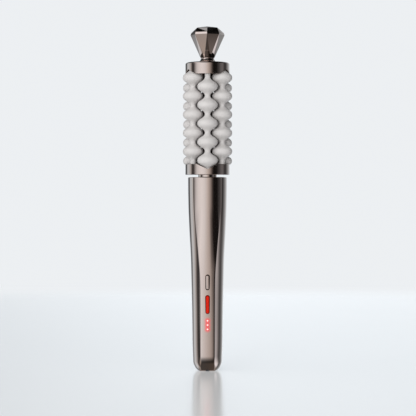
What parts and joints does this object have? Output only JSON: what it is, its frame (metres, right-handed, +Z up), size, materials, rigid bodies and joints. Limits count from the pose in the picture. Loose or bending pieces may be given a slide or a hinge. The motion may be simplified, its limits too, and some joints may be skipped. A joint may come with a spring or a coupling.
{
  "type": "facial massager",
  "caption": "Cordless facial massage wand: creased tapering grip with two buttons and indicator lights, a turning cage of interlocking wave rollers and a faceted knob on top.",
  "frame": {"origin": "middle of the foot's flat, where the wand stands", "axes": "+Z up along the wand, the grip's face with the buttons points to -Y, +X is to the right seen from the front"},
  "size_m": [0.0314, 0.0342, 0.2196],
  "materials": {
    "rose_chrome": "bright plated metal with a faint rose tint",
    "silicone": "smooth satin, light warm grey",
    "signal_red": "glossy red, lit from behind",
    "light_pipe": "clear, glowing red",
    "steel": "bright steel",
    "brass": "machined brass",
    "acetal": "natural white, low friction",
    "dark_nylon": "black, lightly textured",
    "circuit_laminate": "green lacquered laminate",
    "cell_sleeve": "blue shrink sleeve",
    "led_white": "moulded clear over a yellow phosphor",
    "lead_red": "red insulated wire"
  },
  "bodies": {
    "handle": {"handle_shell": "rose_chrome", "base_cap": "rose_chrome", "charging_socket": "steel", "charging_board": "circuit_laminate", "inner_frame": "dark_nylon", "battery": "cell_sleeve", "cell_tabs": "steel", "circuit_board": "circuit_laminate", "board_screws": "steel", "power_switch": "dark_nylon", "mode_switch": "dark_nylon", "indicator_leds": "led_white", "light_pipes": "light_pipe", "motor": "steel", "motor_leads": "lead_red", "gearbox": "brass", "motor_plate": "steel", "gearbox_screws": "steel", "top_collar": "dark_nylon", "collar_screws": "steel", "head_bush": "acetal"},
    "head": {"drive_shaft": "steel", "drive_hub": "rose_chrome", "hub_clip": "steel", "hub_screws": "steel", "bottom_ring": "rose_chrome", "core_tube": "dark_nylon", "tie_rod": "steel", "roller_axles": "steel", "roller_washers": "brass", "top_cap": "rose_chrome", "knob_collar": "rose_chrome", "knob": "rose_chrome"},
    "power_button": {"power_button": "signal_red", "power_plunger": "acetal"},
    "mode_button": {"mode_button": "rose_chrome", "mode_plunger": "acetal"},
    "roller_1": {"roller_1": "silicone", "liner_1": "acetal"},
    "roller_2": {"roller_2": "silicone", "liner_2": "acetal"},
    "roller_3": {"roller_3": "silicone", "liner_3": "acetal"},
    "roller_4": {"roller_4": "silicone", "liner_4": "acetal"},
    "roller_5": {"roller_5": "silicone", "liner_5": "acetal"},
    "roller_6": {"roller_6": "silicone", "liner_6": "acetal"}
  },
  "joints": [
    {"name": "head_spin", "type": "hinge", "parent": "handle", "child": "head", "pos_m": [0, 0, 0.1249], "axis": [0, 0, 1], "continuous": true},
    {"name": "roller_1_spin", "type": "hinge", "parent": "head", "child": "roller_1", "pos_m": [0, -0.0107, 0.1604], "axis": [0, 0, 1], "continuous": true},
    {"name": "roller_2_spin", "type": "hinge", "parent": "head", "child": "roller_2", "pos_m": [0.00927, -0.00535, 0.1604], "axis": [0, 0, 1], "continuous": true},
    {"name": "roller_3_spin", "type": "hinge", "parent": "head", "child": "roller_3", "pos_m": [0.00927, 0.00535, 0.1604], "axis": [0, 0, 1], "continuous": true},
    {"name": "roller_4_spin", "type": "hinge", "parent": "head", "child": "roller_4", "pos_m": [0, 0.0107, 0.1604], "axis": [0, 0, 1], "continuous": true},
    {"name": "roller_5_spin", "type": "hinge", "parent": "head", "child": "roller_5", "pos_m": [-0.00927, 0.00535, 0.1604], "axis": [0, 0, 1], "continuous": true},
    {"name": "roller_6_spin", "type": "hinge", "parent": "head", "child": "roller_6", "pos_m": [-0.00927, -0.00535, 0.1604], "axis": [0, 0, 1], "continuous": true},
    {"name": "power_button_press", "type": "slide", "parent": "handle", "child": "power_button", "axis": [0, 1, 0], "range_m": [0, 0.0005], "stiffness_N_per_m": 1500},
    {"name": "mode_button_press", "type": "slide", "parent": "handle", "child": "mode_button", "axis": [0, 1, 0], "range_m": [0, 0.0005], "stiffness_N_per_m": 1500}
  ]
}
